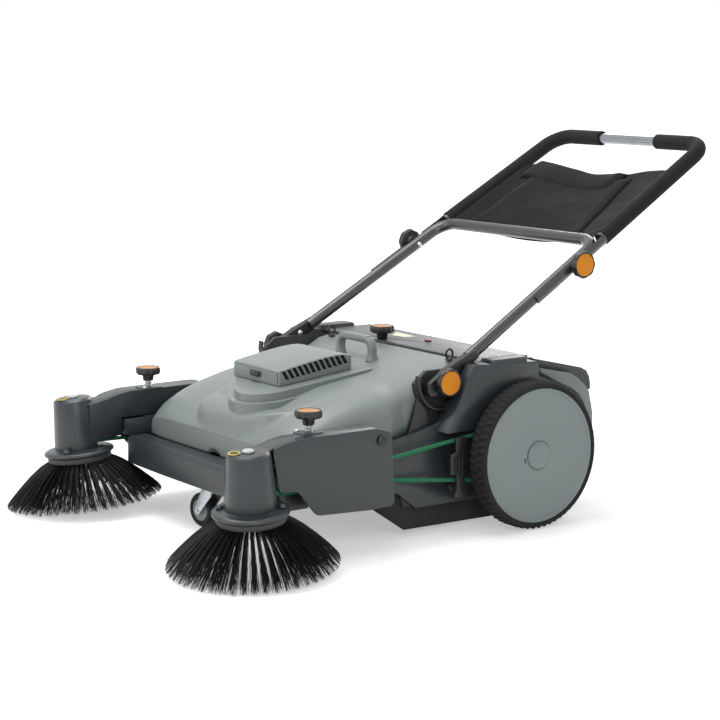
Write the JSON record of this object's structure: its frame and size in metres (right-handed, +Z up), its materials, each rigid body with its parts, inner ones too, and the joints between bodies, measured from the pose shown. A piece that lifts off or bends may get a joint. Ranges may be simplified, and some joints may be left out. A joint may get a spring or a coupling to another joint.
{
  "type": "manual floor sweeper",
  "caption": "Push sweeper with side brooms on hinged arms, a belt-driven roller brush under a hood, rear dust bin, folding handle and tool bag.",
  "frame": {"origin": "on the floor, under the middle of the machine's box", "axes": "+Z up, the front and its brooms face -Y, the machine's left side is +X"},
  "size_m": [0.9804, 1.411, 0.7616],
  "materials": {
    "arm_plate": "satin dark slate",
    "belt_guide": "matt black",
    "bin_lid": "satin dark slate",
    "broom_arm": "satin dark slate",
    "broom_bristles": "black bristle",
    "broom_spindle": "matt black",
    "brush_knob": "satin black with a copper-orange top",
    "brush_roller": "matt black",
    "carry_handle": "satin grey-green",
    "caster_fork": "zinc",
    "caster_hub": "satin grey",
    "caster_plate": "zinc",
    "caster_tyre": "matt black",
    "chassis_frame": "matt black",
    "drive_belt": "satin green",
    "dust_bin": "satin grey-green",
    "filter_panel": "pleated paper",
    "foam_grip": "matt foam",
    "front_bumper": "satin dark slate",
    "guard_disc": "satin dark slate",
    "handle_cup": "satin grey-green",
    "handle_frame": "satin gunmetal",
    "height_knob": "satin black with a copper-orange top",
    "hood": "satin grey-green",
    "hub_cap": "satin grey",
    "lower_knob": "satin black with an orange face",
    "pull_loop": "satin black",
    "rear_deck": "satin dark slate",
    "roller_belt": "matt black",
    "roller_bristles": "black bristle",
    "side_panel": "satin dark slate",
    "side_skirt": "matt black",
    "stem_spring": "bright spring wire",
    "tool_bag": "woven black",
    "tyre": "matt black block tread",
    "upper_handle": "satin gunmetal",
    "upper_knob": "satin black with an orange face",
    "vent_cover": "satin grey-green",
    "vent_latch": "matt black",
    "wheel_axle": "bright steel",
    "wheel_disc": "satin grey"
  },
  "bodies": {
    "chassis": {"chassis_frame": "chassis_frame", "front_bumper": "front_bumper", "rear_deck": "rear_deck", "wheel_axle": "wheel_axle", "caster_plate": "caster_plate", "roller_belt": "roller_belt", "side_panel_left": "side_panel", "side_panel_right": "side_panel", "handle_cup_left": "handle_cup", "handle_cup_right": "handle_cup", "side_skirt_left": "side_skirt", "side_skirt_right": "side_skirt", "belt_guide_left": "belt_guide", "belt_guide_right": "belt_guide", "drive_belt_left": "drive_belt", "drive_belt_right": "drive_belt"},
    "roller": {"brush_roller": "brush_roller", "roller_bristles": "roller_bristles"},
    "hood_cover": {"hood": "hood", "filter_panel": "filter_panel", "carry_handle": "carry_handle"},
    "vent": {"vent_cover": "vent_cover"},
    "latch": {"vent_latch": "vent_latch"},
    "deck_knob": {"brush_knob": "brush_knob"},
    "fork": {"caster_fork": "caster_fork"},
    "caster": {"caster_tyre": "caster_tyre", "caster_hub": "caster_hub"},
    "lower_handle": {"handle_frame": "handle_frame"},
    "push_handle": {"upper_handle": "upper_handle", "tool_bag": "tool_bag", "foam_grip_left": "foam_grip", "foam_grip_right": "foam_grip"},
    "bin": {"dust_bin": "dust_bin", "bin_lid": "bin_lid"},
    "wheel_left": {"tyre_left": "tyre", "wheel_disc_left": "wheel_disc", "hub_cap_left": "hub_cap"},
    "loop_left": {"pull_loop_left": "pull_loop"},
    "arm_left": {"broom_arm_left": "broom_arm", "arm_plate_left": "arm_plate", "guard_disc_left": "guard_disc", "stem_spring_left": "stem_spring"},
    "height_left": {"height_knob_left": "height_knob"},
    "broom_left": {"broom_spindle_left": "broom_spindle", "broom_bristles_left": "broom_bristles"},
    "lower_clamp_left": {"lower_knob_left": "lower_knob"},
    "upper_clamp_left": {"upper_knob_left": "upper_knob"},
    "wheel_right": {"tyre_right": "tyre", "wheel_disc_right": "wheel_disc", "hub_cap_right": "hub_cap"},
    "loop_right": {"pull_loop_right": "pull_loop"},
    "arm_right": {"broom_arm_right": "broom_arm", "arm_plate_right": "arm_plate", "guard_disc_right": "guard_disc", "stem_spring_right": "stem_spring"},
    "height_right": {"height_knob_right": "height_knob"},
    "broom_right": {"broom_spindle_right": "broom_spindle", "broom_bristles_right": "broom_bristles"},
    "lower_clamp_right": {"lower_knob_right": "lower_knob"},
    "upper_clamp_right": {"upper_knob_right": "upper_knob"}
  },
  "joints": [
    {"name": "wheel_left_spin", "type": "hinge", "parent": "chassis", "child": "wheel_left", "pos_m": [0.361, 0.10229, 0.15], "axis": [1, 0, 0], "continuous": true},
    {"name": "wheel_right_spin", "type": "hinge", "parent": "chassis", "child": "wheel_right", "pos_m": [-0.361, 0.10229, 0.15], "axis": [1, 0, 0], "continuous": true},
    {"name": "roller_spin", "type": "hinge", "parent": "chassis", "child": "roller", "pos_m": [0, -0.04771, 0.0905], "axis": [1, 0, 0], "continuous": true},
    {"name": "left_arm_tilt", "type": "hinge", "parent": "chassis", "child": "arm_left", "pos_m": [0.337, -0.26021, 0.2181], "axis": [-1, 0, 0], "range_deg": [0, 5], "deforming": ["drive_belt_left"]},
    {"name": "left_height_knob_turn", "type": "hinge", "parent": "arm_left", "child": "height_left", "pos_m": [0.302, -0.40171, 0.2581], "axis": [0, 0, 1], "range_deg": [0, 1440]},
    {"name": "broom_left_spin", "type": "hinge", "parent": "arm_left", "child": "broom_left", "pos_m": [0.3345, -0.55211, 0.12114], "axis": [0.0598, -0.0793, 0.9951], "continuous": true},
    {"name": "right_arm_tilt", "type": "hinge", "parent": "chassis", "child": "arm_right", "pos_m": [-0.337, -0.26021, 0.2181], "axis": [-1, 0, 0], "range_deg": [0, 5], "deforming": ["drive_belt_right"]},
    {"name": "right_height_knob_turn", "type": "hinge", "parent": "arm_right", "child": "height_right", "pos_m": [-0.302, -0.40171, 0.2581], "axis": [0, 0, 1], "range_deg": [0, 1440]},
    {"name": "broom_right_spin", "type": "hinge", "parent": "arm_right", "child": "broom_right", "pos_m": [-0.3345, -0.55211, 0.12114], "axis": [-0.0598, -0.0793, 0.9951], "continuous": true},
    {"name": "caster_swivel", "type": "hinge", "parent": "chassis", "child": "fork", "pos_m": [0, -0.42771, 0.09], "axis": [0, 0, 1], "continuous": true},
    {"name": "caster_spin", "type": "hinge", "parent": "fork", "child": "caster", "pos_m": [-0.02971, -0.43189, 0.035], "axis": [0.1392, -0.9903, 0], "continuous": true},
    {"name": "handle_tilt", "type": "hinge", "parent": "chassis", "child": "lower_handle", "pos_m": [0, -0.07371, 0.3055], "axis": [1, 0, 0], "range_deg": [0, 60]},
    {"name": "handle_fold", "type": "hinge", "parent": "lower_handle", "child": "push_handle", "pos_m": [0, 0.28674, 0.51319], "axis": [1, 0, 0], "range_deg": [0, 140]},
    {"name": "lower_left_knob_turn", "type": "hinge", "parent": "lower_handle", "child": "lower_clamp_left", "pos_m": [0.2958, -0.07371, 0.3055], "axis": [1, 0, 0], "continuous": true},
    {"name": "upper_left_knob_turn", "type": "hinge", "parent": "push_handle", "child": "upper_clamp_left", "pos_m": [0.28135, 0.28674, 0.51319], "axis": [1, 0, 0], "continuous": true},
    {"name": "lower_right_knob_turn", "type": "hinge", "parent": "lower_handle", "child": "lower_clamp_right", "pos_m": [-0.2958, -0.07371, 0.3055], "axis": [-1, 0, 0], "continuous": true},
    {"name": "upper_right_knob_turn", "type": "hinge", "parent": "push_handle", "child": "upper_clamp_right", "pos_m": [-0.28135, 0.28674, 0.51319], "axis": [-1, 0, 0], "continuous": true},
    {"name": "brush_knob_turn", "type": "hinge", "parent": "chassis", "child": "deck_knob", "pos_m": [-0.078, 0.04879, 0.3353], "axis": [0, 0, 1], "continuous": true},
    {"name": "hood_open", "type": "hinge", "parent": "chassis", "child": "hood_cover", "pos_m": [0, -0.42771, 0.1545], "axis": [1, 0, 0], "range_deg": [0, 70]},
    {"name": "vent_open", "type": "hinge", "parent": "hood_cover", "child": "vent", "pos_m": [0, -0.14771, 0.3097], "axis": [-1, 0, 0], "range_deg": [0, 80]},
    {"name": "latch_slide", "type": "slide", "parent": "vent", "child": "latch", "axis": [1, 0, 0], "range_m": [0, 0.005]},
    {"name": "left_loop_pull", "type": "slide", "parent": "hood_cover", "child": "loop_left", "axis": [0, 0, 1], "range_m": [0, 0.006]},
    {"name": "right_loop_pull", "type": "slide", "parent": "hood_cover", "child": "loop_right", "axis": [0, 0, 1], "range_m": [0, 0.006]},
    {"name": "bin_slide", "type": "slide", "parent": "chassis", "child": "bin", "axis": [0, 1, 0], "range_m": [0, 0.2]}
  ],
  "couplings": [
    {"joint": "roller_spin", "follows": "wheel_right_spin", "ratio": 1.4934},
    {"joint": "broom_left_spin", "follows": "wheel_left_spin", "ratio": -3.3933},
    {"joint": "broom_right_spin", "follows": "wheel_right_spin", "ratio": 3.3933}
  ]
}
